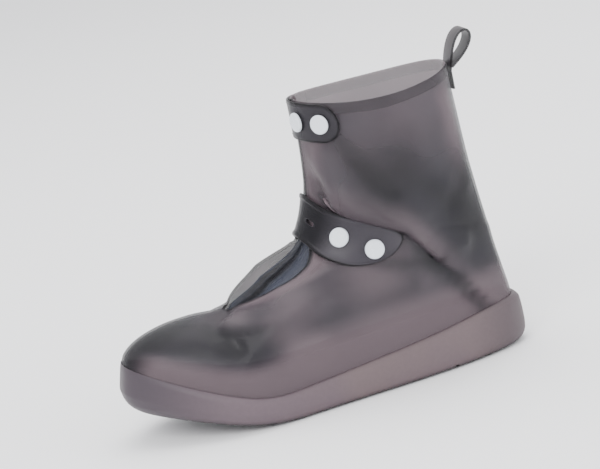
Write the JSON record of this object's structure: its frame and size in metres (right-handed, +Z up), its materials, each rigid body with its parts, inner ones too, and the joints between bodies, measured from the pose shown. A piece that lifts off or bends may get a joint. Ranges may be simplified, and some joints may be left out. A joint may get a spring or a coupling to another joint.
{
  "type": "overshoe",
  "caption": "See-through rubber rain overshoe for a left foot: boot upper with an open front, folded gusset, snapped instep strap and collar tab, pull loop, raised sole.",
  "frame": {"origin": "bottom centre of the whole part's box, on the floor under the sole", "axes": "+X from the toe to the heel, -Y the outer side with the snaps, +Z up from the floor"},
  "size_m": [0.3012, 0.1126, 0.2348],
  "materials": {
    "smoke_rubber": "satin, see-through",
    "sole_rubber": "satin, see-through",
    "strap_rubber": "satin, see-through",
    "snap_plastic": "gloss"
  },
  "bodies": {
    "root": {"outsole": "sole_rubber", "upper": "smoke_rubber", "gusset": "smoke_rubber", "instep_strap": "strap_rubber", "collar_tab": "strap_rubber", "pull_loop": "strap_rubber", "strap_snap_cap_front": "snap_plastic", "strap_snap_base_front": "snap_plastic", "strap_snap_cap_back": "snap_plastic", "strap_snap_base_back": "snap_plastic", "collar_snap_cap_front": "snap_plastic", "collar_snap_base_front": "snap_plastic", "collar_snap_cap_back": "snap_plastic", "collar_snap_base_back": "snap_plastic"}
  },
  "joints": []
}
